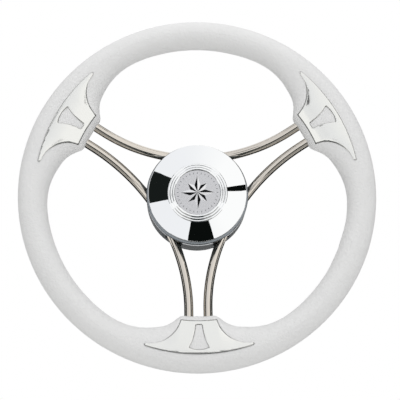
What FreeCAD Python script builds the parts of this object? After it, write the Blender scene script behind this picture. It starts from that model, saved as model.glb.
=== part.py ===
import FreeCAD
import Part
import math
import os
from FreeCAD import Vector

# Boat steering wheel with a moulded foam rim, three bent stainless bows and a chromed hub cover.
# Millimetres. The wheel turns about Y, its face looks towards -Y and +Z is up.
# The origin is on the axis, in the rear face of the hub boss, where the helm shaft comes in.

# Rim
wheel_diameter = 350.0
grip_diameter = 28.0
rim_offset = 48.0
stock_diameter = 9.0
core_inset = 3.0

# Bosses of the rim, one for each pair of rods, given by the angle of each from +X
boss_angles = {"left": 150.0, "right": 30.0, "bottom": 270.0}
boss_reach = 26.7
boss_half_width = 17.3
boss_flank = 35.0
boss_blend_radius = 66.0
boss_blend_angle = 36.5
boss_squareness = 0.5
nose_sharpness = 6
nose_setback = 3.0
section_steps = 8
section_angles = [4.5, 8.2, 10.5, 13.5, 18, 24, 30, boss_blend_angle, 44, 52]

# Chromed inserts let into the bosses
insert_proud = 1.0
insert_wall = 2.6
insert_lip = 5.0
insert_setback = 3.0
insert_flare = 0.1
insert_tip_angle = 19.4
insert_side_bow = 7.7
insert_tip_round = 1.3
insert_corner_round = 0.8
window_foot = 4.3
window_head = 4.6
window_neck = 2.9
window_mouth = 9.4
window_side_bow = 1.4
window_end_bow = 2.2
window_corner_round = 1.0
pin_diameter = 4.0
pin_length = 7.0
pin_angle = 10.6
pin_setback = 9.0

# Bows, each bent in one plane that leans back towards the hub
bow_angles = {"top": 90.0, "left": 210.0, "right": 330.0}
bow_apex = 40.1
bow_apex_depth = 24.7
core_forward = 5.36
rod_spacing = 18.6
groove_depth = 0.8

# Hub boss on the helm shaft
boss_diameter = 32.0
boss_length = 32.0
boss_flange_diameter = 48.0
boss_flange_wall = 3.0
taper_diameter = 19.05
taper_ratio = 12.0
taper_length = 24.0
keyway_width = 4.76
keyway_depth = 2.0
edge_break = 0.8

# Plate that carries the bows
plate_clearance = 3.1
plate_wall = 5.0
weld_leg = 3.0
weld_run = 14.0

# Front cover
cover_diameter = 96.8
cover_edge_depth = 0.3
cover_rise = 1.9
cover_wall = 2.0
cover_edge_round = 0.6
cover_flank = 6.5
step_count = 3
step_diameter = 58.8
step_rise = 0.7
step_crest = 0.35
badge_diameter = 44.6
badge_sink = 0.7
badge_wall = 1.6
badge_clearance = 0.15
skirt_setback = 4.5
skirt_wall = 2.4
skirt_gap = 0.5

# Seal ring on the skirt of the cover
seal_wall = 1.8
seal_width = 2.2
seal_crown = 0.6
seal_offset = 0.6
seal_clearance = 0.1

# Collar behind the cover
collar_overhang = 1.75
collar_round = 0.9
collar_length = 5.6
bore_fit = 0.4
spigot_length = 1.2
spigot_clearance = 0.2
flange_land = 6.0
flange_wall = 2.4
arch_clearance = 1.0
arch_drop = 1.5

# Rear cup
cup_wall = 2.2
cup_rear_gap = 2.0
cup_round = 4.0
cup_bore_gap = 0.6
slot_clearance = 1.6
slot_inward = 15.0
slot_outward = 8.0
standoff_diameter = 9.0

# Screws
screw_diameter = 4.0
screw_head = 7.6
screw_head_height = 2.4
screw_gap = 0.25
screw_room = 0.8
cup_screw_circle = 60.0
spacer_diameter = 9.0
socket_width = 2.5
socket_depth = 1.4

# Planes along the axis and radii, worked out from the sizes above
axis = Vector(0, 1, 0)
search_steps = 40
along_axis_share = 0.99
section_radius = grip_diameter / 2
rim_radius = wheel_diameter / 2 - section_radius
rim_plane = -rim_offset
core_radius = rim_radius - core_inset
rod_radius = stock_diameter / 2
boss_inner = rim_radius - section_radius - boss_reach
insert_inner = boss_inner + insert_lip
insert_outer = rim_radius - insert_setback
insert_half_width = boss_half_width + insert_flare
window_inner = insert_inner + window_foot
window_outer = insert_outer - window_head
pin_radius = insert_outer - pin_setback
boss_turn = math.pi / len(boss_angles)
core_plane = rim_plane - core_forward
bow_plane = rim_plane + bow_apex_depth
plate_front = bow_plane + rod_radius - groove_depth
plate_rear = plate_front + plate_wall
cover_edge = rim_plane + cover_edge_depth
seat_plane = cover_edge + cover_edge_round + cover_flank
skirt_diameter = cover_diameter - 2 * skirt_setback
collar_diameter = cover_diameter + 2 * collar_overhang
collar_rear = seat_plane + collar_length
collar_screw_circle = skirt_diameter - 2 * (skirt_wall + screw_room) - screw_head
flange_rear = collar_rear + spigot_length
flange_front = flange_rear - flange_wall
flange_inner = collar_screw_circle - 2 * flange_land
cup_inner = collar_diameter / 2 - cup_wall
cup_rear = -cup_rear_gap
boss_front = -boss_length


def turned(points):
    """Solid of revolution about the axis, from (radius, depth) points and three-point arcs.

    A point is (radius, depth). An arc is (middle radius, middle depth, end radius, end depth).
    """
    edges = []
    last = Vector(points[0][0], points[0][1], 0)
    first = last
    for item in points[1:]:
        end = Vector(item[-2], item[-1], 0)
        if len(item) == 4:
            edges.append(Part.Arc(last, Vector(item[0], item[1], 0), end).toShape())
        else:
            edges.append(Part.LineSegment(last, end).toShape())
        last = end
    edges.append(Part.LineSegment(last, first).toShape())
    face = Part.Face(Part.Wire(edges))
    return face.revolve(Vector(0, 0, 0), axis, 360)


def along_axis(radius, start, end, x=0.0, z=0.0):
    return Part.makeCylinder(radius, end - start, Vector(x, start, z), axis)


def on_circle(circle, angle):
    turn = math.radians(angle)
    return circle / 2 * math.cos(turn), circle / 2 * math.sin(turn)


def turned_to(shape, angle):
    """Turns a shape that was made for the +X direction so that it points to the given angle."""
    copy = shape.copy()
    copy.rotate(Vector(0, 0, 0), axis, -angle)
    return copy


def screw(x, z, seat, tip, outward):
    """Socket head screw along the axis. outward is -1 for a head on the front side and 1 on the rear."""
    head_end = seat + outward * screw_head_height
    head = along_axis(screw_head / 2, min(seat, head_end), max(seat, head_end), x, z)
    shank = along_axis(screw_diameter / 2, min(seat, tip), max(seat, tip), x, z)
    socket = Part.makeBox(socket_width, socket_depth, socket_width)
    depth = head_end - socket_depth if outward > 0 else head_end
    socket.translate(Vector(x - socket_width / 2, depth, z - socket_width / 2))
    return head.fuse(shank).removeSplitter().cut(socket)


def rod_spot(radius):
    """Where a rod's axis passes a radius: along the bow's own direction and across it."""
    half_gap = rod_spacing / 2
    run = math.sqrt(radius ** 2 - half_gap ** 2)
    out = half_gap * math.sin(boss_turn) + run * math.cos(boss_turn)
    across = run * math.sin(boss_turn) - half_gap * math.cos(boss_turn)
    return out, across


# The bow leans just enough for its ends to meet the core ring
lean = math.atan((bow_plane - core_plane) / (rod_spot(core_radius)[0] - bow_apex))


def bow_depth(out):
    return bow_plane - math.tan(lean) * (out - bow_apex)


def rod_line(radius):
    """Point of a rod's axis at a radius from the wheel's axis, for a bow that points to +X."""
    out, across = rod_spot(radius)
    return Vector(out, bow_depth(out), across)


def bow_wire():
    """Axis of one bow that points to +X: a round bend between two straight ends."""
    bend = math.atan(1 / math.tan(boss_turn) / math.cos(lean))
    apex = bow_apex / math.cos(lean)
    crossing = rod_spacing / 2 / math.sin(boss_turn) / math.cos(lean)
    radius = (apex - crossing) / (1 / math.cos(bend) - 1)
    centre = apex + radius

    def placed(leaning, across):
        out = leaning * math.cos(lean)
        return Vector(out, bow_depth(out), across)

    tangent = placed(centre - radius * math.cos(bend), radius * math.sin(bend))
    mirrored = Vector(tangent.x, tangent.y, -tangent.z)
    end = rod_line(core_radius)
    far = Vector(end.x, end.y, -end.z)
    first = Part.LineSegment(far, mirrored).toShape()
    middle = Part.Arc(mirrored, placed(apex, 0), tangent).toShape()
    last = Part.LineSegment(tangent, end).toShape()
    return Part.Wire([first, middle, last])


def bow_rod(radius):
    wire = bow_wire()
    start = wire.Vertexes[0].Point
    heading = wire.Edges[0].tangentAt(wire.Edges[0].FirstParameter)
    profile = Part.Wire([Part.makeCircle(radius, start, heading)])
    return wire.makePipeShell([profile], True, False)


def rim_core():
    ring = Part.makeTorus(core_radius, rod_radius, Vector(0, core_plane, 0), axis)
    return ring


def boss_edge(angle):
    """Radius of the rim's inner edge, at an angle in degrees from the middle of a boss."""
    turn = math.radians(abs(angle))
    plain = rim_radius - section_radius
    if abs(angle) >= boss_blend_angle:
        return plain
    flat = boss_inner / math.cos(turn)
    slope = math.tan(math.radians(boss_flank))
    flank = (boss_inner - boss_half_width * slope) / (math.cos(turn) - math.sin(turn) * slope)
    offset = plain - boss_blend_radius
    away = math.radians(boss_blend_angle) - turn
    blend = offset * math.cos(away) + math.sqrt(boss_blend_radius ** 2 - (offset * math.sin(away)) ** 2)
    return max(flat, min(flank, blend))


def section_edge(extent, half, power, shift, start):
    """Half of a section, from front to rear or back: a squared ellipse whose inner end is shifted along the axis."""
    points = []
    for step in range(section_steps + 1):
        turn = start + math.pi * step / section_steps
        inward = math.copysign(abs(math.sin(turn)) ** (2 / power), math.sin(turn))
        front = math.copysign(abs(math.cos(turn)) ** (2 / power), math.cos(turn))
        depth = shift * inward ** nose_sharpness - half * front
        points.append(Vector(rim_radius - extent * inward, rim_plane + depth, 0))
    tangent = Vector(-math.cos(start) * extent * math.pi / section_steps, 0, 0)
    marks = [float(step) for step in range(section_steps + 1)]
    curve = Part.BSplineCurve()
    curve.interpolate(Points=points, Parameters=marks, InitialTangent=tangent, FinalTangent=tangent * -1,
                      Scale=False)
    return curve.toShape()


def grip_section(angle, growth):
    """Section of the rim as a closed wire: round on the outside, drawn out inwards at a boss."""
    half = section_radius + growth
    reach = rim_radius - boss_edge(angle)
    share = (reach - section_radius) / boss_reach
    power = 2 + boss_squareness * share
    nose_shift = nose_setback * share
    inner = section_edge(reach + growth, half, power, nose_shift, 0)
    outer = section_edge(half, half, 2, 0, math.pi)
    wire = Part.Wire([inner, outer])
    wire.rotate(Vector(0, 0, 0), axis, -angle)
    return wire


def grip_sector(growth, half_angles):
    angles = [-a for a in reversed(half_angles)] + [0] + list(half_angles)
    return Part.makeLoft([grip_section(a, growth) for a in angles], True, False)


def rim_grip(bows, core, inserts):
    sections = []
    for boss in sorted(boss_angles.values()):
        for angle in [-a for a in reversed(section_angles)] + [0] + section_angles:
            sections.append(turned_to(grip_section(angle, 0), boss))
        sections.append(turned_to(grip_section(180 / len(boss_angles), 0), boss))
    grip = Part.makeLoft(sections, True, False, True)
    return grip.cut([core] + list(bows) + list(inserts))


def flat_point(radius, angle):
    turn = math.radians(angle)
    return Vector(radius * math.cos(turn), 0, radius * math.sin(turn))


def bowed(start, end, bow):
    """Arc from start to end in the wheel's plane, bowed by a distance to the left of the way there."""
    way = end - start
    side = Vector(-way.z, 0, way.x)
    side.normalize()
    middle = (start + end) * 0.5 + side * bow
    return Part.Arc(start, middle, end).toShape()


def insert_outline():
    """Fin: two hollow sides between a short inner arc and a long outer one, with a blunt round tip at each end."""
    corner_angle = math.degrees(math.asin(insert_half_width / insert_inner))
    tip_centre = insert_outer - insert_tip_round
    turn = insert_tip_angle - math.degrees(math.asin(insert_tip_round / tip_centre))
    inner_low = flat_point(insert_inner, -corner_angle)
    inner_high = flat_point(insert_inner, corner_angle)
    under_high = flat_point(insert_outer - 2 * insert_tip_round, turn)
    under_low = flat_point(insert_outer - 2 * insert_tip_round, -turn)
    over_high = flat_point(insert_outer, turn)
    over_low = flat_point(insert_outer, -turn)
    edges = [
        Part.Arc(inner_low, flat_point(insert_inner, 0), inner_high).toShape(),
        bowed(inner_high, under_high, -insert_side_bow),
        Part.Arc(under_high, flat_point(tip_centre, insert_tip_angle), over_high).toShape(),
        Part.Arc(over_high, flat_point(insert_outer, 0), over_low).toShape(),
        Part.Arc(over_low, flat_point(tip_centre, -insert_tip_angle), under_low).toShape(),
        bowed(under_low, inner_low, -insert_side_bow),
    ]
    return Part.Wire(edges)


def window_outline():
    neck_low = Vector(window_inner, 0, -window_neck)
    neck_high = Vector(window_inner, 0, window_neck)
    mouth_low = Vector(window_outer - window_end_bow, 0, -window_mouth)
    mouth_high = Vector(window_outer - window_end_bow, 0, window_mouth)
    edges = [
        Part.LineSegment(neck_low, neck_high).toShape(),
        bowed(neck_high, mouth_high, -window_side_bow),
        Part.Arc(mouth_high, Vector(window_outer, 0, 0), mouth_low).toShape(),
        bowed(mouth_low, neck_low, -window_side_bow),
    ]
    return Part.Wire(edges)


def prism(outline, start, end):
    wire = outline.copy()
    wire.translate(Vector(0, start, 0))
    return Part.Face(wire).extrude(Vector(0, end - start, 0))


def rounded_prism(outline, start, end, radius, edge_test):
    """Straight block on an outline, with those of its edges along the axis rounded whose radius passes the test."""
    block = prism(outline, start, end)
    upright = [e for e in block.Edges if abs(e.tangentAt(e.FirstParameter).y) > along_axis_share]
    chosen = [e for e in upright if edge_test(math.hypot(e.Vertexes[0].X, e.Vertexes[0].Z))]
    return block.makeFillet(radius, chosen)


def insert_plate():
    """Fin-shaped shell that follows the front of a boss, with a window and two pins behind."""
    spread = [angle for angle in section_angles if angle < boss_blend_angle]
    front = rim_plane - grip_diameter
    outline = rounded_prism(insert_outline(), front, rim_plane, insert_corner_round,
                            lambda radius: radius < window_inner)
    window = rounded_prism(window_outline(), front, rim_plane, window_corner_round,
                           lambda radius: radius > window_inner + window_mouth)
    skin = grip_sector(insert_proud, spread).common(outline)
    shell = skin.cut(grip_sector(insert_proud - insert_wall, spread)).cut(window)
    inner_face = rim_plane - section_radius + insert_wall - insert_proud
    for side in (-pin_angle, pin_angle):
        point = flat_point(pin_radius, side)
        pin = along_axis(pin_diameter / 2, inner_face - insert_wall / 2, inner_face + pin_length, point.x, point.z)
        shell = shell.fuse(pin)
    return shell


def hub_boss():
    small = taper_diameter / 2 - taper_length / taper_ratio / 2
    outer = boss_diameter / 2
    flange_start = plate_front - boss_flange_wall
    body = turned([
        (small, boss_front),
        (outer - edge_break, boss_front),
        (outer, boss_front + edge_break),
        (outer, flange_start),
        (boss_flange_diameter / 2, flange_start),
        (boss_flange_diameter / 2, plate_front),
        (outer, plate_front),
        (outer, -edge_break),
        (outer - edge_break, 0),
        (taper_diameter / 2, 0),
        (small, -taper_length),
    ])
    keyway = Part.makeBox(keyway_width, taper_length, taper_diameter / 2 + keyway_depth)
    keyway.translate(Vector(-keyway_width / 2, -taper_length, 0))
    return body.cut(keyway)


def boss_weld():
    outer = boss_diameter / 2
    return turned([(outer, plate_rear), (outer + weld_leg, plate_rear), (outer, plate_rear + weld_leg)])


def hub_plate(bows):
    plate = along_axis(cup_inner - plate_clearance, plate_front, plate_rear)
    tools = [along_axis(boss_diameter / 2, plate_front, plate_rear)]
    for circle, angles in ((collar_screw_circle, boss_angles), (cup_screw_circle, bow_angles)):
        for angle in angles.values():
            x, z = on_circle(circle, angle)
            tools.append(along_axis(screw_diameter / 2, plate_front, plate_rear, x, z))
    return plate.cut(tools + list(bows))


def bow_welds(bows):
    """Bead in the corner between each bow's bend and the plate, on the side of the hub boss."""
    toe = Vector(bow_apex - rod_radius - weld_leg, plate_front, -weld_run / 2)
    root = Vector(bow_apex, plate_front, -weld_run / 2)
    top = Vector(bow_apex, bow_plane, -weld_run / 2)
    bead = Part.Face(Part.makePolygon([toe, root, top, toe])).extrude(Vector(0, 0, weld_run))
    return Part.makeCompound([turned_to(bead, angle).cut(bows[name]) for name, angle in bow_angles.items()])


def front_cover():
    edge = cover_diameter / 2
    steps_outer = step_diameter / 2
    badge = badge_diameter / 2
    cone_top = cover_edge - cover_rise
    crown = cone_top - step_count * step_rise
    floor = crown + badge_sink + badge_wall
    outside = [(0, floor), (badge, floor), (badge, crown + step_crest)]
    width = (steps_outer - badge) / step_count
    for count in range(step_count):
        inner = badge + count * width
        top = crown + count * step_rise
        outside.append((inner + width / 2, top - step_crest / 2, inner + width, top + step_crest))
        if count < step_count - 1:
            outside.append((inner + width, top + step_rise + step_crest / 2))
    outside.append((steps_outer, cone_top))
    outside.append((edge - cover_edge_round, cover_edge))
    reach = cover_edge_round * math.sin(math.radians(45))
    outside.append((
        edge - cover_edge_round + reach, cover_edge + cover_edge_round - reach,
        edge, cover_edge + cover_edge_round))
    skirt = skirt_diameter / 2
    groove = seat_plane + seal_offset
    skirt_end = flange_front - skirt_gap
    inside = floor + cover_wall
    underside = [
        (edge, seat_plane),
        (skirt, seat_plane),
        (skirt, groove),
        (skirt + bore_fit - seal_wall, groove),
        (skirt + bore_fit - seal_wall, groove + seal_width),
        (skirt, groove + seal_width),
        (skirt, skirt_end - edge_break),
        (skirt - edge_break, skirt_end),
        (skirt - skirt_wall, skirt_end),
        (skirt - skirt_wall, inside),
        (0, inside),
    ]
    return turned(outside + underside)


def badge_disc():
    crown = cover_edge - cover_rise - step_count * step_rise
    top = crown + badge_sink
    radius = badge_diameter / 2 - badge_clearance
    return along_axis(radius, top, top + badge_wall)


def cover_seal():
    outer = skirt_diameter / 2 + bore_fit
    start = seat_plane + seal_offset + seal_clearance
    end = seat_plane + seal_offset + seal_width - seal_clearance
    middle = (start + end) / 2
    return turned([(outer - seal_wall, start), (outer - seal_crown, start),
                   (outer, middle, outer - seal_crown, end), (outer - seal_wall, end)])


def rod_exits():
    """Where each rod goes through the wall of the hub: its point and its heading in the wheel's plane."""
    exits = []
    wire = bow_wire()
    bend = wire.Edges[1]
    wall = collar_diameter / 2
    low, high = bend.FirstParameter, (bend.FirstParameter + bend.LastParameter) / 2
    for _ in range(search_steps):
        middle = (low + high) / 2
        point = bend.valueAt(middle)
        if math.hypot(point.x, point.z) > wall:
            low = middle
        else:
            high = middle
    point = bend.valueAt(low)
    heading = bend.tangentAt(low)
    for angle in bow_angles.values():
        for side in (-1, 1):
            spot = Vector(point.x, point.y, -side * point.z)
            way = Vector(heading.x, heading.y, -side * heading.z)
            turn = FreeCAD.Rotation(axis, -angle)
            exits.append((turn.multVec(spot), turn.multVec(way)))
    return exits


def slot_tools():
    """Open slots for the rods: round at the rear and running forward to the collar."""
    radius = rod_radius + slot_clearance
    length = slot_inward + slot_outward
    tools = []
    for spot, way in rod_exits():
        start = spot - way * slot_outward
        tube = Part.makeCylinder(radius, length, start, way)
        side = way.cross(axis)
        side.normalize()
        near = start - side * radius
        far = start + side * radius
        corners = [near, far, far + way * length, near + way * length, near]
        height = spot.y - collar_rear + 2 * radius
        mouth = Part.Face(Part.makePolygon(corners)).extrude(Vector(0, -height, 0))
        tools.append(tube.fuse(mouth))
    return tools


def hub_collar():
    outer = collar_diameter / 2
    bore = skirt_diameter / 2 + bore_fit
    flange = cup_inner - spigot_clearance
    reach = collar_round * math.sin(math.radians(45))
    ring = turned([
        (bore, seat_plane),
        (outer - collar_round, seat_plane),
        (outer - collar_round + reach, seat_plane + collar_round - reach, outer, seat_plane + collar_round),
        (outer, collar_rear),
        (flange, collar_rear),
        (flange, flange_rear),
        (flange_inner / 2, flange_rear),
        (flange_inner / 2, flange_front),
        (bore, flange_front),
    ])
    tools = []
    for angle in boss_angles.values():
        x, z = on_circle(collar_screw_circle, angle)
        tools.append(along_axis(screw_diameter / 2 + screw_gap, flange_front, flange_rear, x, z))
    for spot, way in rod_exits():
        level = Vector(way.x, 0, way.z)
        level.normalize()
        reach = 2 * (outer - bore)
        start = Vector(spot.x, collar_rear + arch_drop, spot.z) - level * (outer - bore)
        tools.append(Part.makeCylinder(rod_radius + arch_clearance, reach, start, level))
    return ring.cut(tools)


def rear_cup():
    outer = collar_diameter / 2
    inner = cup_inner
    hole = boss_diameter / 2 + cup_bore_gap
    corner = cup_round * (1 - math.sin(math.radians(45)))
    inside_round = cup_round - cup_wall
    inside_corner = inside_round * (1 - math.sin(math.radians(45)))
    wall_front = cup_rear - cup_wall
    cup = turned([
        (inner, collar_rear),
        (outer, collar_rear),
        (outer, cup_rear - cup_round),
        (outer - corner, cup_rear - corner, outer - cup_round, cup_rear),
        (hole, cup_rear),
        (hole, wall_front),
        (inner - inside_round, wall_front),
        (inner - inside_corner, wall_front - inside_corner, inner, wall_front - inside_round),
    ])
    posts = []
    tools = slot_tools()
    head_seat = cup_rear - screw_head_height
    for angle in bow_angles.values():
        x, z = on_circle(cup_screw_circle, angle)
        posts.append(along_axis(standoff_diameter / 2 + screw_gap, plate_rear, wall_front, x, z))
        tools.append(along_axis(screw_diameter / 2 + screw_gap, plate_rear, cup_rear, x, z))
        tools.append(along_axis(screw_head / 2 + screw_gap, head_seat, cup_rear, x, z))
    return cup.fuse(posts).removeSplitter().cut(tools)


def collar_spacers():
    tubes = []
    for angle in boss_angles.values():
        x, z = on_circle(collar_screw_circle, angle)
        tube = along_axis(spacer_diameter / 2, flange_rear, plate_front, x, z)
        hole = along_axis(screw_diameter / 2 + screw_gap, flange_rear, plate_front, x, z)
        tubes.append(tube.cut(hole))
    return Part.makeCompound(tubes)


def collar_screws():
    places = [on_circle(collar_screw_circle, angle) for angle in boss_angles.values()]
    return Part.makeCompound([screw(x, z, flange_front, plate_rear, -1) for x, z in places])


def cup_screws():
    places = [on_circle(cup_screw_circle, angle) for angle in bow_angles.values()]
    head_seat = cup_rear - screw_head_height
    return Part.makeCompound([screw(x, z, head_seat, plate_front + groove_depth, 1) for x, z in places])


def build():
    core = rim_core()
    rod = bow_rod(rod_radius)
    bows = {name: turned_to(rod, angle).cut(core) for name, angle in bow_angles.items()}
    plate = insert_plate()
    inserts = {name: turned_to(plate, angle) for name, angle in boss_angles.items()}
    nodes = {
        "rim_grip": rim_grip(bows.values(), core, inserts.values()),
        "rim_core": core,
        "hub_plate": hub_plate(bows.values()),
        "hub_boss": hub_boss(),
        "boss_weld": boss_weld(),
        "bow_welds": bow_welds(bows),
        "front_cover": front_cover(),
        "badge_disc": badge_disc(),
        "cover_seal": cover_seal(),
        "hub_collar": hub_collar(),
        "rear_cup": rear_cup(),
        "collar_spacers": collar_spacers(),
        "collar_screws": collar_screws(),
        "cup_screws": cup_screws(),
    }
    for name, shape in bows.items():
        nodes["bow_" + name] = shape
    for name, shape in inserts.items():
        nodes["insert_" + name] = shape
    return nodes


os.makedirs("parts", exist_ok=True)
for node, shape in build().items():
    shape.exportStep("parts/" + node + ".step")
    print(node, "solids", len(shape.Solids), "valid", shape.isValid(), "volume", round(shape.Volume))
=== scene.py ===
# Boat steering wheel: finishes, fine detail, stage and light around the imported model.
import bpy
import math
from mathutils import Matrix, Vector


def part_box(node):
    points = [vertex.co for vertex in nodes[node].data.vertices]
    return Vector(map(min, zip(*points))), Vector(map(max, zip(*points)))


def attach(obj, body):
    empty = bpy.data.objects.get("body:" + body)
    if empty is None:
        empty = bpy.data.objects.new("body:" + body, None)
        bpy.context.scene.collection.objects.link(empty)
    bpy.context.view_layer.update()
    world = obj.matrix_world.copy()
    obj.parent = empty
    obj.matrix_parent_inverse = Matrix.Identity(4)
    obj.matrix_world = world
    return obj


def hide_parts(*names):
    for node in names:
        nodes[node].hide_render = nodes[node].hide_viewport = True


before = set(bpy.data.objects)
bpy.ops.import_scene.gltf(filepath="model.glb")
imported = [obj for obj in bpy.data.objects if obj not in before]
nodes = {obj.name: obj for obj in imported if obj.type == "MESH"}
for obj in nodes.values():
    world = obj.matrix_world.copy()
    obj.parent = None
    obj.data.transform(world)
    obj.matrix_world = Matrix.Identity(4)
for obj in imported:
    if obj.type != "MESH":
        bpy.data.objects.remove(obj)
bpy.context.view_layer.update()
print("model loaded with", len(nodes), "nodes")

mm = 0.001
sameSpot = 0.005 * mm  # points closer than this are one point
mixFirst = 6  # a Mix node's sockets for its two colours
mixSecond = 7
mixResult = 2  # and for the colour that comes out


def hexToLinear(code):
    shares = [int(code[start:start + 2], 16) / 255 for start in (1, 3, 5)]
    linear = [s / 12.92 if s <= 0.04045 else ((s + 0.055) / 1.055) ** 2.4 for s in shares]
    return (*linear, 1.0)


def addNode(tree, kind, settings=None, links=None):
    node = tree.nodes.new(kind)
    for name, value in (settings or {}).items():
        if isinstance(name, int) or name in node.inputs:
            node.inputs[name].default_value = value
        else:
            setattr(node, name, value)
    for name, source in (links or {}).items():
        tree.links.new(source, node.inputs[name])
    return node


def newMaterial(name, colour, roughness, metallic=0.0):
    material = bpy.data.materials.new(name)
    material.use_nodes = True
    tree = material.node_tree
    shader = tree.nodes["Principled BSDF"]
    shader.inputs["Base Color"].default_value = hexToLinear(colour)
    shader.inputs["Roughness"].default_value = roughness
    shader.inputs["Metallic"].default_value = metallic
    return material, tree, shader


def dress(piece, material):
    piece.data.materials.clear()
    piece.data.materials.append(material)


# Camera

cameraSetup = {
    "target": Vector((0, -48 * mm, 0)),  # middle of the rim
    "distance": 1.2,  # metres
    "azimuth": -1.123,  # degrees, as the next two
    "elevation": -11.928,
    "turn": 0.524,
    "focalPixels": 1227.4,
    "framePixels": 400,
    "sensor": 36.0,  # mm
    "targetPixel": (197.48, 193.04),  # where the target lies in the frame
}


def heading(azimuth, elevation):
    # azimuth 0 is the side that the wheel faces, and positive goes to its right
    turn = math.radians(azimuth)
    rise = math.radians(elevation)
    return Vector((math.sin(turn) * math.cos(rise), -math.cos(turn) * math.cos(rise), math.sin(rise)))


def addCamera(setup):
    back = heading(setup["azimuth"], setup["elevation"])
    bpy.ops.object.camera_add()
    camera = bpy.context.object
    camera.name = "studioCamera"
    facing = back.to_track_quat("Z", "Y").to_matrix().to_4x4()
    place = Matrix.Translation(back * setup["distance"]) @ facing
    turn = Matrix.Rotation(math.radians(setup["turn"]), 4, "Y")
    camera.matrix_world = Matrix.Translation(setup["target"]) @ turn @ place
    lens = camera.data
    lens.sensor_width = setup["sensor"]
    lens.lens = setup["focalPixels"] / setup["framePixels"] * setup["sensor"]
    middle = setup["framePixels"] / 2
    lens.shift_x = (middle - setup["targetPixel"][0]) / setup["framePixels"]
    lens.shift_y = (setup["targetPixel"][1] - middle) / setup["framePixels"]
    bpy.context.scene.camera = camera


addCamera(cameraSetup)
bpy.context.scene.view_settings.view_transform = "Standard"
print("camera placed")


# Stage and light

floorSetup = {"height": -0.32, "size": 6.0, "colour": "#f6f6f5", "roughness": 0.8}
skySetup = {
    "strength": 0.72,  # what the white room gives to matt surfaces
    # the room as polished metal shows it, from the left side of the wheel to its right
    "tints": [(0.15, "#edeef0"), (0.47, "#f2f3f6"), (0.5, "#f4f5f7"), (0.59, "#ffffff")],
}
lamps = {
    "topLamp": {"place": (0.1, -0.9, 2.3), "size": 2.2, "power": 26},
    "frontLamp": {"place": (0.3, -2.6, 0.8), "size": 2.2, "power": 5},
}
# Black cards round the table, seen only in polished metal. Each is given by what it covers, in degrees
# as seen from the hub, by its distance in metres and by its colour.
cards = {
    "frontCard": {"azimuth": (-1.9, 6.2), "elevation": (-5.5, -0.4), "distance": 2.6, "colour": "#0a0d0c"},
    "leftCard": {"azimuth": (-19, -10.3), "elevation": (8.8, 18.8), "distance": 2.6, "colour": "#171b1a"},
    "rightCard": {"azimuth": (14.6, 21), "elevation": (12.6, 14.4), "distance": 2.6, "colour": "#0a0c0b"},
    "leftWall": {"azimuth": (-155, -95), "elevation": (-12, 57), "distance": 1.8, "colour": "#1d2526"},
    "rightWall": {"azimuth": (95, 155), "elevation": (-12, 57), "distance": 1.8, "colour": "#1d2526"},
    "leftWing": {"azimuth": (-97, -56), "elevation": (-10, 47), "distance": 1.7, "colour": "#1d2526"},
    "rightWing": {"azimuth": (56, 97), "elevation": (-10, 47), "distance": 1.7, "colour": "#1d2526"},
}
# Cloths on the table, seen only in metal too, by their middle and their size in metres
cloths = {
    "frontCloth": {"place": (0, -0.83, -0.315), "size": (0.56, 0.66), "colour": "#2c3335"},
    "nearCloth": {"place": (0, -0.22, -0.313), "size": (0.2, 0.46), "colour": "#2c3335"},
    "greyCloth": {"place": (0, -0.25, -0.316), "size": (1.4, 0.48), "colour": "#a3a3a1"},
    "backCloth": {"place": (0, 0.34, -0.315), "size": (2.6, 0.7), "colour": "#1c2020"},
    "backLeftCloth": {"place": (-0.8, 1.6, -0.315), "size": (1.0, 1.82), "colour": "#1c2020"},
    "backRightCloth": {"place": (0.8, 1.6, -0.315), "size": (1.0, 1.82), "colour": "#1c2020"},
}


def showOnlyInMetal(card):
    card.visible_camera = False
    card.visible_diffuse = False
    card.visible_transmission = False
    card.visible_shadow = False
    card.visible_volume_scatter = False


def evenlyLit(name, colour):
    # a surface that metal shows in this very colour
    material = bpy.data.materials.new(name)
    material.use_nodes = True
    tree = material.node_tree
    tree.nodes.clear()
    lit = addNode(tree, "ShaderNodeEmission", {"Color": hexToLinear(colour)})
    addNode(tree, "ShaderNodeOutputMaterial", {}, {"Surface": lit.outputs[0]})
    return material


def addCard(name, setup):
    azimuth = sum(setup["azimuth"]) / 2
    elevation = sum(setup["elevation"]) / 2
    toCard = heading(azimuth, elevation)
    halfWide = setup["distance"] * math.tan(math.radians(setup["azimuth"][1] - azimuth))
    halfTall = setup["distance"] * math.tan(math.radians(setup["elevation"][1] - elevation))
    halfWide *= math.cos(math.radians(elevation))
    bpy.ops.mesh.primitive_plane_add(size=2)
    card = bpy.context.object
    card.name = name
    facing = Matrix.Translation(cameraSetup["target"] + toCard * setup["distance"])
    facing = facing @ (-toCard).to_track_quat("Z", "Y").to_matrix().to_4x4()
    card.matrix_world = facing @ Matrix.Diagonal((halfWide, halfTall, 1, 1))
    dress(card, evenlyLit(name + "Paper", setup["colour"]))
    showOnlyInMetal(card)


def addCloth(name, setup):
    bpy.ops.mesh.primitive_plane_add(size=1, location=setup["place"])
    cloth = bpy.context.object
    cloth.name = name
    cloth.scale = (*setup["size"], 1)
    dress(cloth, evenlyLit(name + "Weave", setup["colour"]))
    showOnlyInMetal(cloth)


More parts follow.
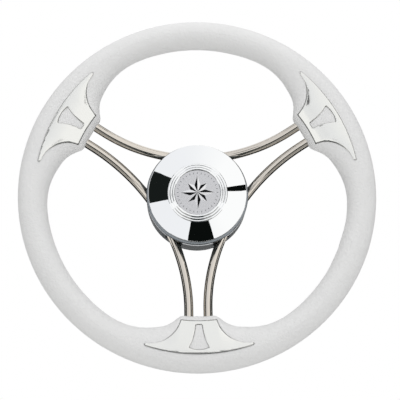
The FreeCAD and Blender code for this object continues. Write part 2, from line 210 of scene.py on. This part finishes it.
def addFloor(setup):
    bpy.ops.mesh.primitive_plane_add(size=setup["size"], location=(0, 0, setup["height"]))
    floor = bpy.context.object
    floor.name = "studioFloor"
    material, tree, shader = newMaterial("paleStudioPaper", setup["colour"], setup["roughness"])
    # metal and glass see the paper as plain white, and the camera sees the shadow on it
    path = addNode(tree, "ShaderNodeLightPath")
    mirrored = addNode(tree, "ShaderNodeMath", {"operation": "MAXIMUM"},
                       {0: path.outputs["Is Glossy Ray"], 1: path.outputs["Is Transmission Ray"]})
    white = addNode(tree, "ShaderNodeEmission", {"Color": (1, 1, 1, 1)})
    paper = addNode(tree, "ShaderNodeMixShader", {},
                    {0: mirrored.outputs[0], 1: shader.outputs[0], 2: white.outputs[0]})
    tree.links.new(paper.outputs[0], tree.nodes["Material Output"].inputs["Surface"])
    dress(floor, material)


def addSky(setup):
    # one even white for the camera and for matt surfaces, and faint tints for polished metal
    world = bpy.data.worlds.new("studioAir")
    bpy.context.scene.world = world
    world.use_nodes = True
    tree = world.node_tree
    tree.nodes.clear()
    path = addNode(tree, "ShaderNodeLightPath")
    seen = addNode(tree, "ShaderNodeMath", {"operation": "MAXIMUM"},
                   {0: path.outputs["Is Camera Ray"], 1: path.outputs["Is Glossy Ray"]})
    shown = addNode(tree, "ShaderNodeMath", {"operation": "MAXIMUM"},
                    {0: seen.outputs[0], 1: path.outputs["Is Transmission Ray"]})
    strength = addNode(tree, "ShaderNodeMapRange", {"To Min": setup["strength"], "To Max": 1.0},
                       {"Value": shown.outputs[0]})
    way = addNode(tree, "ShaderNodeSeparateXYZ", {},
                  {"Vector": addNode(tree, "ShaderNodeTexCoord").outputs["Generated"]})
    across = addNode(tree, "ShaderNodeMapRange", {"From Min": -1.0, "From Max": 1.0},
                     {"Value": way.outputs["X"]})
    tints = addNode(tree, "ShaderNodeValToRGB", {}, {"Fac": across.outputs[0]})
    stops = tints.color_ramp.elements
    while len(stops) < len(setup["tints"]):
        stops.new(0.5)
    for stop, (share, colour) in zip(stops, setup["tints"]):
        stop.position = share
        stop.color = hexToLinear(colour)
    colour = addNode(tree, "ShaderNodeMix", {"data_type": "RGBA", mixFirst: (1, 1, 1, 1)},
                     {0: path.outputs["Is Glossy Ray"], mixSecond: tints.outputs[0]})
    air = addNode(tree, "ShaderNodeBackground", {},
                  {"Color": colour.outputs[mixResult], "Strength": strength.outputs[0]})
    addNode(tree, "ShaderNodeOutputWorld", {}, {"Surface": air.outputs[0]})


def addLamp(name, setup):
    bpy.ops.object.light_add(type="AREA", location=setup["place"])
    lamp = bpy.context.object
    lamp.name = name
    lamp.data.size = setup["size"]
    lamp.data.energy = setup["power"]
    lamp.visible_glossy = False
    aim = cameraSetup["target"] - Vector(setup["place"])
    lamp.rotation_euler = aim.to_track_quat("-Z", "Y").to_euler()


bpy.ops.object.select_all(action="DESELECT")
addFloor(floorSetup)
addSky(skySetup)
for lampName, lampSetup in lamps.items():
    addLamp(lampName, lampSetup)
for cardName, cardSetup in cards.items():
    addCard(cardName, cardSetup)
for clothName, clothSetup in cloths.items():
    addCloth(clothName, clothSetup)
print("stage, cards and lamps set")


# Finishes

foamFinish = {
    "colour": "#e2e2e2",
    "roughness": 0.58,
    "grain": 2.2,  # real grain is near 0.6 mm, drawn coarser so that it shows in the picture
    "grainDepth": 0.8,
    "mottle": 14.0,  # mm from a paler patch to a darker one
    "shade": 0.035,  # how much darker that patch is
}
# Every size is in mm, and for polished metal it is that of its faint waves. The marks of blasting,
# moulding, rolling and pickling are near 0.1 mm on the real surfaces and tool rings near 0.2 mm, and all
# are drawn coarser so that they show.
chromeFinish = {"colour": "#fbfcfc", "roughness": 0.01, "grain": 16.0, "grainDepth": 0.012}
insertFinish = {"colour": "#f1f1ed", "roughness": 0.14, "grain": 20.0, "grainDepth": 0.004}
barFinish = {"colour": "#ddd6cc", "roughness": 0.025, "grain": 30.0, "grainDepth": 0.006}
bandFinish = {"colour": "#8f9498", "roughness": 0.2, "grain": 0.6, "grainDepth": 0.01}
badgeFinish = {"colour": "#d9d9db", "roughness": 0.36, "grain": 0.35, "grainDepth": 0.006}
cupFinish = {"colour": "#2a3438", "roughness": 0.46, "grain": 0.9, "grainDepth": 0.05}
plateFinish = {"colour": "#b9b6b0", "roughness": 0.34, "grain": 0.6, "grainDepth": 0.02}
rubberFinish = {"colour": "#1d1e20", "roughness": 0.62, "grain": 0.5, "grainDepth": 0.02}
screwFinish = {"colour": "#cfccc6", "roughness": 0.18, "grain": 0.5, "grainDepth": 0.008}
machinedFinish = {"colour": "#c9c6c1", "roughness": 0.22, "grain": 2.8, "grainDepth": 0.01, "relief": 0.6}
weldFinish = {"colour": "#a79f94", "roughness": 0.38, "grain": 1.2, "grainDepth": 0.12, "relief": 0.8}
ringsPerScale = 20 / (2 * math.pi)  # what a wave texture draws in a metre at a scale of 1
softNoise = {"Detail": 2.0}  # grain with a little finer grain on it
slowWaves = {"Detail": 1.0}


def grained(name, setup, metallic, texture="ShaderNodeTexNoise", settings=softNoise, output="Fac"):
    # a surface whose relief is a texture as coarse as the setup's grain and as deep as its grainDepth
    material, tree, shader = newMaterial(name, setup["colour"], setup["roughness"], metallic)
    place = addNode(tree, "ShaderNodeTexCoord").outputs["Object"]
    scale = {"Scale": 1 / (setup["grain"] * mm)}
    grain = addNode(tree, texture, {**scale, **settings}, {"Vector": place})
    bump = addNode(tree, "ShaderNodeBump",
                   {"Strength": setup.get("relief", 1.0), "Distance": setup["grainDepth"] * mm},
                   {"Height": grain.outputs[output]})
    tree.links.new(bump.outputs["Normal"], shader.inputs["Normal"])
    return material


def mottle(material, setup):
    # lets the colour wander a little from patch to patch
    tree = material.node_tree
    place = addNode(tree, "ShaderNodeTexCoord").outputs["Object"]
    patches = addNode(tree, "ShaderNodeTexNoise", {"Scale": 1 / (setup["mottle"] * mm), "Detail": 2.0},
                      {"Vector": place})
    pale = hexToLinear(setup["colour"])
    deep = (*(share * (1 - setup["shade"]) for share in pale[:3]), 1.0)
    blend = addNode(tree, "ShaderNodeMix", {"data_type": "RGBA", mixFirst: pale, mixSecond: deep},
                    {"Factor": patches.outputs["Fac"]})
    tree.links.new(blend.outputs[mixResult], tree.nodes["Principled BSDF"].inputs["Base Color"])


# Polyurethane foam skinned in the mould: a soft, even sheen over a pebble grain
foam = grained("mouldedPolyurethaneFoam", foamFinish, 0.0, settings={"Detail": 3.0, "Roughness": 0.6})
mottle(foam, foamFinish)
# Nickel and chrome plated on moulded ABS: a mirror that sinks and waves a little over its width
platedChrome = grained("chromePlatedABS", chromeFinish, 1.0, settings=slowWaves)
# The same plating over a finely blasted moulding: pale, with reflections that blur out
silkChrome = grained("silkChromePlatedABS", insertFinish, 1.0, settings=slowWaves)
# Stainless bar drawn and buffed: a warm mirror, faintly soft along its length
buffedBar = grained("buffedStainlessBar", barFinish, 1.0, settings=slowWaves)
# Stainless band rolled and buffed: bright but not a true mirror
rolledBand = grained("rolledStainlessBand", bandFinish, 1.0)
# Aluminium disc blasted with fine beads: an even grey without sharp reflections
blastedDisc = grained("beadBlastedAluminium", badgeFinish, 1.0)
# Nylon moulded in a spark-eroded tool: dark grey with a dull, even texture
mouldedCup = grained("mouldedNylon", cupFinish, 0.0)
# Stainless plate cut and pickled: grey and faintly grainy
pickledPlate = grained("pickledStainlessPlate", plateFinish, 1.0)
# Nitrile cord: nearly black and dull
sealRubber = grained("nitrileRubber", rubberFinish, 0.0)
# Stainless wire headed cold and tumbled: bright, with small dents
screwSteel = grained("coldHeadedStainless", screwFinish, 1.0)
# Stainless bar turned on a lathe: bright, with tool rings round the axis
lathedSteel = grained("turnedStainlessSteel", machinedFinish, 1.0, "ShaderNodeTexWave",
                      {"wave_type": "RINGS", "rings_direction": "Y",
                       "Scale": 1 / (machinedFinish["grain"] * mm * ringsPerScale)})
# Stainless weld laid by hand: dull and straw coloured, with ripples across the bead
weldSteel = grained("stainlessWeldBead", weldFinish, 1.0, "ShaderNodeTexVoronoi", {}, "Distance")

nodeFinishes = {
    "rim_grip": foam,
    "rim_core": buffedBar,
    "bow_top": buffedBar,
    "bow_left": buffedBar,
    "bow_right": buffedBar,
    "bow_welds": weldSteel,
    "boss_weld": weldSteel,
    "hub_boss": lathedSteel,
    "hub_plate": pickledPlate,
    "hub_collar": rolledBand,
    "collar_spacers": lathedSteel,
    "collar_screws": screwSteel,
    "cup_screws": screwSteel,
    "front_cover": platedChrome,
    "cover_seal": sealRubber,
    "rear_cup": mouldedCup,
    "badge_disc": blastedDisc,
    "insert_left": silkChrome,
    "insert_right": silkChrome,
    "insert_bottom": silkChrome,
}
for nodeName, finish in nodeFinishes.items():
    dress(nodes[nodeName], finish)
print("finishes given to", len(nodeFinishes), "nodes")


# Shared modelling steps

crease = math.radians(35)  # edges that turn more than this stay sharp


def editMesh(kind="VERT"):
    bpy.ops.object.mode_set(mode="EDIT")
    bpy.ops.mesh.select_mode(type=kind)


def leaveMesh():
    bpy.ops.object.mode_set(mode="OBJECT")


def pick(piece, kind, test):
    # kind is vertices, edges or polygons, and test says of one of them whether it is picked
    leaveMesh()
    for part in (*piece.data.vertices, *piece.data.edges, *piece.data.polygons):
        part.select = False
    for part in getattr(piece.data, kind):
        part.select = test(part)
    editMesh({"vertices": "VERT", "edges": "EDGE", "polygons": "FACE"}[kind])


def startPoint(name, point):
    bpy.ops.object.select_all(action="DESELECT")
    bpy.ops.mesh.primitive_plane_add(size=mm)
    piece = bpy.context.object
    piece.name = name
    piece.data.name = name
    editMesh()
    bpy.ops.mesh.select_all(action="SELECT")
    bpy.ops.mesh.merge(type="CENTER")
    bpy.ops.transform.translate(value=point)
    return piece


def drawFace(name, points):
    piece = startPoint(name, points[0])
    for last, point in zip(points, points[1:]):
        bpy.ops.mesh.extrude_region_move(TRANSFORM_OT_translate={"value": point - last})
    final = len(points) - 1
    pick(piece, "vertices", lambda vertex: vertex.index in (0, final))
    bpy.ops.mesh.edge_face_add()
    bpy.ops.mesh.select_all(action="SELECT")
    bpy.ops.mesh.edge_face_add()
    return piece


def turnedCopy(piece, name, angle):
    # a copy with its own mesh, turned about the wheel's axis by degrees counted from +X to +Z
    bpy.ops.object.select_all(action="DESELECT")
    piece.select_set(True)
    bpy.context.view_layer.objects.active = piece
    bpy.ops.object.duplicate()
    copy = bpy.context.object
    copy.name = name
    copy.data.name = name
    editMesh()
    bpy.ops.mesh.select_all(action="SELECT")
    bpy.ops.transform.rotate(value=math.radians(angle), orient_axis="Y", orient_type="GLOBAL",
                             center_override=(0, 0, 0))
    leaveMesh()
    return copy


def remove(piece):
    bpy.data.objects.remove(piece, do_unlink=True)


# Inserts

bossShape = {  # the rim at a boss, in mm and degrees
    "rimRadius": 161.0,
    "rimPlane": -48.0,
    "gripRadius": 14.0,
    "edge": 147.0,  # inner side of the plain rim
    "inner": 120.3,  # inner side of the boss
    "halfWidth": 17.3,
    "flank": 35.0,
    "blendRadius": 66.0,
    "blendAngle": 36.5,
    "squareness": 0.5,
    "noseSharpness": 6,
    "noseSetback": 3.0,
    "reach": 26.7,
}
insertShape = {  # in mm and degrees, for a fin that points to +X
    "proud": 0.98,
    "wall": 2.6,
    "seam": 0.3,  # open line between the plating and the foam
    "inner": 125.3,
    "outer": 158.0,
    "halfWidth": 17.4,
    "tipAngle": 19.3,
    "tipRound": 1.75,
    "tipInset": 0.1,  # degrees that the seam takes off the tip
    "sideBow": 7.7,
    "cornerRound": 1.4,
    "edgeRound": 0.7,
    "edgeSteps": 5,
    "cell": 1.6,  # between two cuts across the fin
    "windowInner": 129.6,
    "windowOuter": 153.4,
    "neck": 2.9,
    "mouth": 9.4,
    "windowSideBow": 1.4,
    "windowEndBow": 2.2,
    "windowRound": 1.0,
    "neckRound": 1.3,
    "innerSteps": 4,
    "cornerSteps": 5,
    "sideSteps": 26,
    "tipSteps": 8,
    "outerSteps": 30,
    "windowSideSteps": 12,
    "windowEndSteps": 16,
    "windowCornerSteps": 6,
    "pinRadius": 149.0,
    "pinAngle": 10.6,
    "pinDiameter": 4.0,
    "pinLength": 7.0,
    "pinSides": 24,
}
insertAngles = {"insert_left": 150, "insert_right": 30, "insert_bottom": 270}


def bossEdge(angle, shape):
    # inner outline of the rim, with the angle in degrees from the middle of a boss
    angle = abs(angle)
    if angle > shape["blendAngle"]:
        return shape["edge"]
    turn = math.radians(angle)
    slope = math.tan(math.radians(shape["flank"]))
    flat = shape["inner"] / math.cos(turn)
    flank = (shape["inner"] - shape["halfWidth"] * slope) / (math.cos(turn) - math.sin(turn) * slope)
    offset = shape["edge"] - shape["blendRadius"]
    away = math.radians(shape["blendAngle"] - angle)
    blend = offset * math.cos(away) + math.sqrt(shape["blendRadius"] ** 2 - (offset * math.sin(away)) ** 2)
    return max(flat, min(flank, blend))


def frontDepth(x, z, growth, shape):
    # how far forward the rim's front lies at a point, for a rim grown by that many mm
    radius = math.hypot(x, z)
    angle = math.degrees(math.atan2(z, x))
    reach = shape["rimRadius"] - bossEdge(angle, shape)
    share = (reach - shape["gripRadius"]) / shape["reach"]
    power = 2 + shape["squareness"] * share
    inward = (shape["rimRadius"] - radius) / (reach + growth)
    front = (1 - min(abs(inward), 1) ** power) ** (1 / power)
    setback = shape["noseSetback"] * share * max(inward, 0) ** shape["noseSharpness"]
    return shape["rimPlane"] + setback - (shape["gripRadius"] + growth) * front


def atAngle(radius, angle):
    return Vector((radius * math.cos(math.radians(angle)), 0, radius * math.sin(math.radians(angle))))


def turnBetween(first, last):
    return math.atan2(first.x * last.z - first.z * last.x, first.x * last.x + first.z * last.z)


def arcThrough(start, middle, end, steps):
    # points after the start, on the circle through three points of the XZ plane
    loop = ((start, middle, end), (middle, end, start), (end, start, middle))
    span = 2 * sum(a.x * (b.z - c.z) for a, b, c in loop)
    across = sum(a.length_squared * (b.z - c.z) for a, b, c in loop) / span
    up = sum(a.length_squared * (c.x - b.x) for a, b, c in loop) / span
    centre = Vector((across, 0, up))
    first = start - centre
    sweep = turnBetween(first, middle - centre) + turnBetween(middle - centre, end - centre)
    points = []
    for step in range(1, steps + 1):
        turn = sweep * step / steps
        x = first.x * math.cos(turn) - first.z * math.sin(turn)
        z = first.x * math.sin(turn) + first.z * math.cos(turn)
        points.append(centre + Vector((x, 0, z)))
    return points


def bowedThrough(start, end, bow, steps):
    # a side from start to end whose middle is moved sideways by bow
    along = (end - start).normalized()
    middle = (start + end) / 2 + Vector((-along.z, 0, along.x)) * bow
    return arcThrough(start, middle, end, steps)


def roundCorner(points, index, radius, steps):
    # cuts the corner at one point with an arc that touches the lines to its neighbours
    corner, before, after = points[index], points[index - 1], points[(index + 1) % len(points)]
    toBefore = (before - corner).normalized()
    toAfter = (after - corner).normalized()
    half = toBefore.angle(toAfter) / 2
    cut = radius / math.tan(half)
    start = corner + toBefore * cut
    end = corner + toAfter * cut
    centre = corner + (toBefore + toAfter).normalized() * (radius / math.sin(half))
    middle = centre + (corner - centre).normalized() * radius
    return points[:index] + [start] + arcThrough(start, middle, end, steps) + points[index + 1:]


def halfInsertOutline(shape):
    # upper half of the fin and of its window, as one loop that starts and ends on the middle line
    seam = shape["seam"]
    inner = shape["inner"] + seam
    outer = shape["outer"] - seam
    tipRound = shape["tipRound"] - seam
    corner = math.degrees(math.asin((shape["halfWidth"] - seam) / inner))
    tipCentre = outer - tipRound
    turn = shape["tipAngle"] - math.degrees(math.asin(shape["tipRound"] / tipCentre))
    innerHigh = atAngle(inner, corner)
    underHigh = atAngle(outer - 2 * tipRound, turn)
    overHigh = atAngle(outer, turn)
    points = [atAngle(inner, 0)]
    points += arcThrough(points[0], atAngle(inner, corner / 2), innerHigh, shape["innerSteps"])
    cornerIndex = len(points) - 1
    points += bowedThrough(innerHigh, underHigh, -shape["sideBow"], shape["sideSteps"])
    points = roundCorner(points, cornerIndex, shape["cornerRound"], shape["cornerSteps"])
    tipEnd = atAngle(tipCentre, shape["tipAngle"] - shape["tipInset"])
    points += arcThrough(underHigh, tipEnd, overHigh, shape["tipSteps"])
    points += arcThrough(overHigh, atAngle(outer, turn / 2), atAngle(outer, 0), shape["outerSteps"])
    neckHigh = Vector((shape["windowInner"] - seam, 0, shape["neck"] + seam))
    mouthHigh = Vector((shape["windowOuter"] + seam - shape["windowEndBow"], 0, shape["mouth"] + seam))
    windowEnd = Vector((shape["windowOuter"] + seam, 0, 0))
    mouthLow = Vector((mouthHigh.x, 0, -mouthHigh.z))
    endArc = arcThrough(mouthHigh, windowEnd, mouthLow, shape["windowEndSteps"])
    upperEnd = endArc[1:shape["windowEndSteps"] // 2 - 1]  # leaves room for the rounded corner
    window = [windowEnd] + upperEnd[::-1] + [mouthHigh]
    mouthIndex = len(window) - 1
    side = bowedThrough(neckHigh, mouthHigh, -shape["windowSideBow"], shape["windowSideSteps"])
    window += side[-2::-1] + [neckHigh]
    neckIndex = len(window) - 1
    window.append(Vector((neckHigh.x, 0, 0)))
    window = roundCorner(window, neckIndex, shape["neckRound"], shape["windowCornerSteps"])
    window = roundCorner(window, mouthIndex, shape["windowRound"], shape["windowCornerSteps"])
    return points + window


def bisectAll(point, normal):
    bpy.ops.mesh.select_all(action="SELECT")
    bpy.ops.mesh.bisect(plane_co=point, plane_no=normal)


def makeInsert(shape, boss):
    outline = [point * mm for point in halfInsertOutline(shape)]
    piece = drawFace("insertBlank", outline)
    radius = shape["edgeRound"] * mm
    wall = shape["wall"] * mm
    bpy.ops.mesh.extrude_region_move(TRANSFORM_OT_translate={"value": (0, radius - wall, 0)})
    bpy.ops.mesh.select_all(action="SELECT")
    bpy.ops.mesh.normals_make_consistent(inside=False)
    pick(piece, "polygons", lambda face: abs(face.center.z) < sameSpot)
    bpy.ops.mesh.delete(type="FACE")
    pick(piece, "polygons", lambda face: face.center.y < radius - wall + sameSpot)
    steps = shape["edgeSteps"]
    for step in range(steps):
        # each inset is one facet of the rounded front edge
        low, high = (math.radians(90 * count / steps) for count in (step, step + 1))
        bpy.ops.mesh.inset(thickness=radius * (math.cos(low) - math.cos(high)),
                           depth=radius * (math.sin(high) - math.sin(low)), use_boundary=False)
    # cuts across the fin, so that its faces can follow the swell of the boss
    cell = shape["cell"] * mm
    x = shape["inner"] * mm
    while x < shape["outer"] * mm:
        x += cell
        bisectAll((x, 0, 0), (1, 0, 0))
    z = cell
    while z < shape["outer"] * mm * math.sin(math.radians(shape["tipAngle"])):
        bisectAll((0, 0, z), (0, 0, 1))
        z += cell
    leaveMesh()
    # the flat blank is laid on the boss: no operator follows its swell
    for vertex in piece.data.vertices:
        growth = shape["proud"] - shape["wall"] - vertex.co.y / mm
        vertex.co.y = frontDepth(vertex.co.x / mm, vertex.co.z / mm, growth, boss) * mm
    mirror = piece.modifiers.new("otherHalf", "MIRROR")
    mirror.use_axis = (False, False, True)
    mirror.merge_threshold = sameSpot
    bpy.ops.object.modifier_apply(modifier=mirror.name)
    editMesh()
    bpy.ops.mesh.select_all(action="SELECT")
    bpy.ops.mesh.remove_doubles(threshold=sameSpot)
    bpy.ops.mesh.normals_make_consistent(inside=False)
    leaveMesh()
    bpy.ops.object.shade_smooth_by_angle(angle=crease)
    for side in (-1, 1):
        addPin(piece, side, shape, boss)
    return piece


def addPin(piece, side, shape, boss):
    spot = atAngle(shape["pinRadius"], side * shape["pinAngle"])
    innerFace = boss["rimPlane"] - boss["gripRadius"] + shape["wall"] - shape["proud"]
    start = innerFace - shape["wall"] / 2
    end = innerFace + shape["pinLength"]
    bpy.ops.object.select_all(action="DESELECT")
    bpy.ops.mesh.primitive_cylinder_add(vertices=shape["pinSides"], radius=shape["pinDiameter"] / 2 * mm,
                                        depth=(end - start) * mm, rotation=(math.pi / 2, 0, 0),
                                        location=(spot.x * mm, (start + end) / 2 * mm, spot.z * mm))
    pin = bpy.context.object
    bpy.ops.object.transform_apply(location=True, rotation=True, scale=True)
    bpy.ops.object.shade_smooth_by_angle(angle=crease)
    piece.select_set(True)
    pin.select_set(True)
    bpy.context.view_layer.objects.active = piece
    bpy.ops.object.join()


insertBlank = makeInsert(insertShape, bossShape)
for nodeName, angle in insertAngles.items():
    insert = turnedCopy(insertBlank, nodeName + "_plated", angle)
    dress(insert, silkChrome)
    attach(insert, "root")
    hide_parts(nodeName)
remove(insertBlank)
print("inserts modelled")


# Bows

bowShape = {  # in mm, along the middle of the rod
    "rodRadius": 4.5,
    "apex": 40.1,  # from the wheel's axis to the middle of the bend
    "apexDepth": -23.3,
    "endDepth": -53.36,
    "endRadius": 158.0,
    "spacing": 18.6,
    "endCut": 2.4,  # the ends stop inside the ring, where nothing shows
    "sides": 96,
    "bendSteps": 80,
}
bowAngles = {"bow_top": 90, "bow_left": 210, "bow_right": 330}
bossTurn = math.radians(60)  # from the middle of a bow to either boss that it reaches


def makeBow(shape):
    # drawn flat and pointing to +X, then leaned forward so that its ends meet the ring in the rim
    halfGap = shape["spacing"] / 2
    run = math.sqrt(shape["endRadius"] ** 2 - halfGap ** 2)
    out = halfGap * math.sin(bossTurn) + run * math.cos(bossTurn)
    across = run * math.sin(bossTurn) - halfGap * math.cos(bossTurn)
    lean = math.atan((shape["apexDepth"] - shape["endDepth"]) / (out - shape["apex"]))
    bend = math.atan(1 / math.tan(bossTurn) / math.cos(lean))
    apex = shape["apex"] / math.cos(lean)
    crossing = halfGap / math.sin(bossTurn) / math.cos(lean)
    radius = (apex - crossing) / (1 / math.cos(bend) - 1)
    centre = Vector((apex + radius, 0, 0))
    end = Vector((out / math.cos(lean), 0, across))
    tangent = Vector((centre.x - radius * math.cos(bend), 0, radius * math.sin(bend)))
    straight = (end - tangent) * (1 - shape["endCut"] / (end - tangent).length)
    farEnd = Vector((tangent.x + straight.x, 0, -tangent.z - straight.z))
    bpy.ops.object.select_all(action="DESELECT")
    bpy.ops.mesh.primitive_circle_add(vertices=shape["sides"], radius=shape["rodRadius"] * mm,
                                      fill_type="NGON", location=farEnd * mm,
                                      rotation=(0, math.atan2(-straight.x, straight.z), 0))
    piece = bpy.context.object
    bpy.ops.object.transform_apply(location=True, rotation=True, scale=True)
    editMesh("FACE")
    bpy.ops.mesh.select_all(action="SELECT")
    toBend = Vector((-straight.x, 0, straight.z)) * mm
    bpy.ops.mesh.extrude_region_move(TRANSFORM_OT_translate={"value": toBend})
    bpy.ops.mesh.spin(steps=shape["bendSteps"], angle=-2 * bend, center=centre * mm, axis=(0, 1, 0))
    bpy.ops.mesh.extrude_region_move(TRANSFORM_OT_translate={"value": straight * mm})
    bpy.ops.mesh.select_all(action="SELECT")
    bpy.ops.mesh.remove_doubles(threshold=sameSpot)
    bpy.ops.mesh.normals_make_consistent(inside=False)
    bpy.ops.transform.rotate(value=lean, orient_axis="Z", orient_type="GLOBAL", center_override=(0, 0, 0))
    forward = shape["apexDepth"] + shape["apex"] * math.tan(lean)
    bpy.ops.transform.translate(value=(0, forward * mm, 0))
    leaveMesh()
    bpy.ops.object.shade_smooth_by_angle(angle=crease)
    return piece


bowBlank = makeBow(bowShape)
for nodeName, angle in bowAngles.items():
    bow = turnedCopy(bowBlank, nodeName + "_buffed", angle)
    dress(bow, buffedBar)
    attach(bow, "root")
    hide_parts(nodeName)
remove(bowBlank)
print("bows modelled")


# Badge rose

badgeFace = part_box("badge_disc")[0].y
roseShape = {  # in mm, with its points counted from the badge's middle
    "points": 8,
    "longPoint": 16.6,
    "shortPoint": 13.2,
    "valley": 7.7,
    "height": 0.75,
    "root": 0.2,  # how deep its edge goes
    "lightFinish": {"colour": "#f2f2f3", "roughness": 0.3, "grain": 0.5, "grainDepth": 0.004},
    "darkFinish": {"colour": "#141617", "roughness": 0.3, "grain": 0.5, "grainDepth": 0.004},
}


def makeRose(shape):
    corners = 2 * shape["points"]
    corner = 360 / corners
    bpy.ops.object.select_all(action="DESELECT")
    bpy.ops.mesh.primitive_circle_add(vertices=corners, radius=shape["longPoint"] * mm, fill_type="TRIFAN",
                                      rotation=(math.pi / 2, 0, 0), location=(0, badgeFace, 0))
    piece = bpy.context.object
    piece.name = "badge_rose"
    piece.data.name = "badge_rose"
    bpy.ops.object.transform_apply(location=True, rotation=True, scale=True)

    def onRim(vertex):
        return math.hypot(vertex.co.x, vertex.co.z) > mm

    def cornerNumber(vertex):
        return round(math.degrees(math.atan2(vertex.co.z, vertex.co.x)) / corner) % corners

    def drawIn(radius, spacing, first):
        pick(piece, "vertices", lambda vertex: onRim(vertex) and cornerNumber(vertex) % spacing == first)
        bpy.ops.transform.resize(value=(radius / shape["longPoint"],) * 3,
                                 center_override=(0, badgeFace, 0))

    # every second corner is a valley, and every second point a short one
    drawIn(shape["valley"], 2, 1)
    drawIn(shape["shortPoint"], 4, 2)
    pick(piece, "vertices", lambda vertex: not onRim(vertex))
    bpy.ops.transform.translate(value=(0, -shape["height"] * mm, 0))
    bpy.ops.mesh.select_all(action="SELECT")
    bpy.ops.mesh.extrude_region_move(TRANSFORM_OT_translate={"value": (0, shape["root"] * mm, 0)})
    bpy.ops.mesh.select_all(action="SELECT")
    bpy.ops.mesh.normals_make_consistent(inside=False)
    leaveMesh()
    # Pressed aluminium, half of each point buffed and half anodised dark: a clear split down its ridge
    dress(piece, grained("buffedAluminium", shape["lightFinish"], 1.0))
    piece.data.materials.append(grained("darkAnodisedAluminium", shape["darkFinish"], 1.0))
    for face in piece.data.polygons:
        turn = math.degrees(math.atan2(face.center.z, face.center.x)) % (2 * corner)
        face.material_index = 1 if turn < corner else 0
    return piece


tickShape = {  # in mm
    "inner": 18.6,
    "outer": 20.2,
    "width": 0.5,
    "height": 0.25,
    "bevel": 0.08,
    "count": 32,
    "finish": {"colour": "#8b8d8f", "roughness": 0.4, "grain": 0.5, "grainDepth": 0.004},
}


def makeTicks(shape):
    middle = (shape["inner"] + shape["outer"]) / 2
    bpy.ops.object.select_all(action="DESELECT")
    bpy.ops.mesh.primitive_cube_add(size=mm, location=(0, badgeFace, middle * mm),
                                    scale=(shape["width"], 2 * shape["height"],
                                           shape["outer"] - shape["inner"]))
    piece = bpy.context.object
    piece.name = "badge_ticks"
    piece.data.name = "badge_ticks"
    bpy.ops.object.transform_apply(location=True, rotation=True, scale=True)
    editMesh("EDGE")
    bpy.ops.mesh.select_all(action="SELECT")
    bpy.ops.mesh.bevel(offset=shape["bevel"] * mm, segments=1, affect="EDGES")
    bpy.ops.mesh.select_all(action="SELECT")
    bpy.ops.mesh.spin(steps=shape["count"], dupli=True, angle=2 * math.pi, center=(0, 0, 0), axis=(0, 1, 0))
    bpy.ops.mesh.select_all(action="SELECT")
    bpy.ops.mesh.remove_doubles(threshold=sameSpot)
    bpy.ops.mesh.normals_make_consistent(inside=False)
    leaveMesh()
    # Aluminium anodised grey: a little duller and darker than the disc
    dress(piece, grained("greyAnodisedAluminium", shape["finish"], 1.0))
    return piece


for piece in (makeRose(roseShape), makeTicks(tickShape)):
    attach(piece, "root")
print("badge rose modelled")
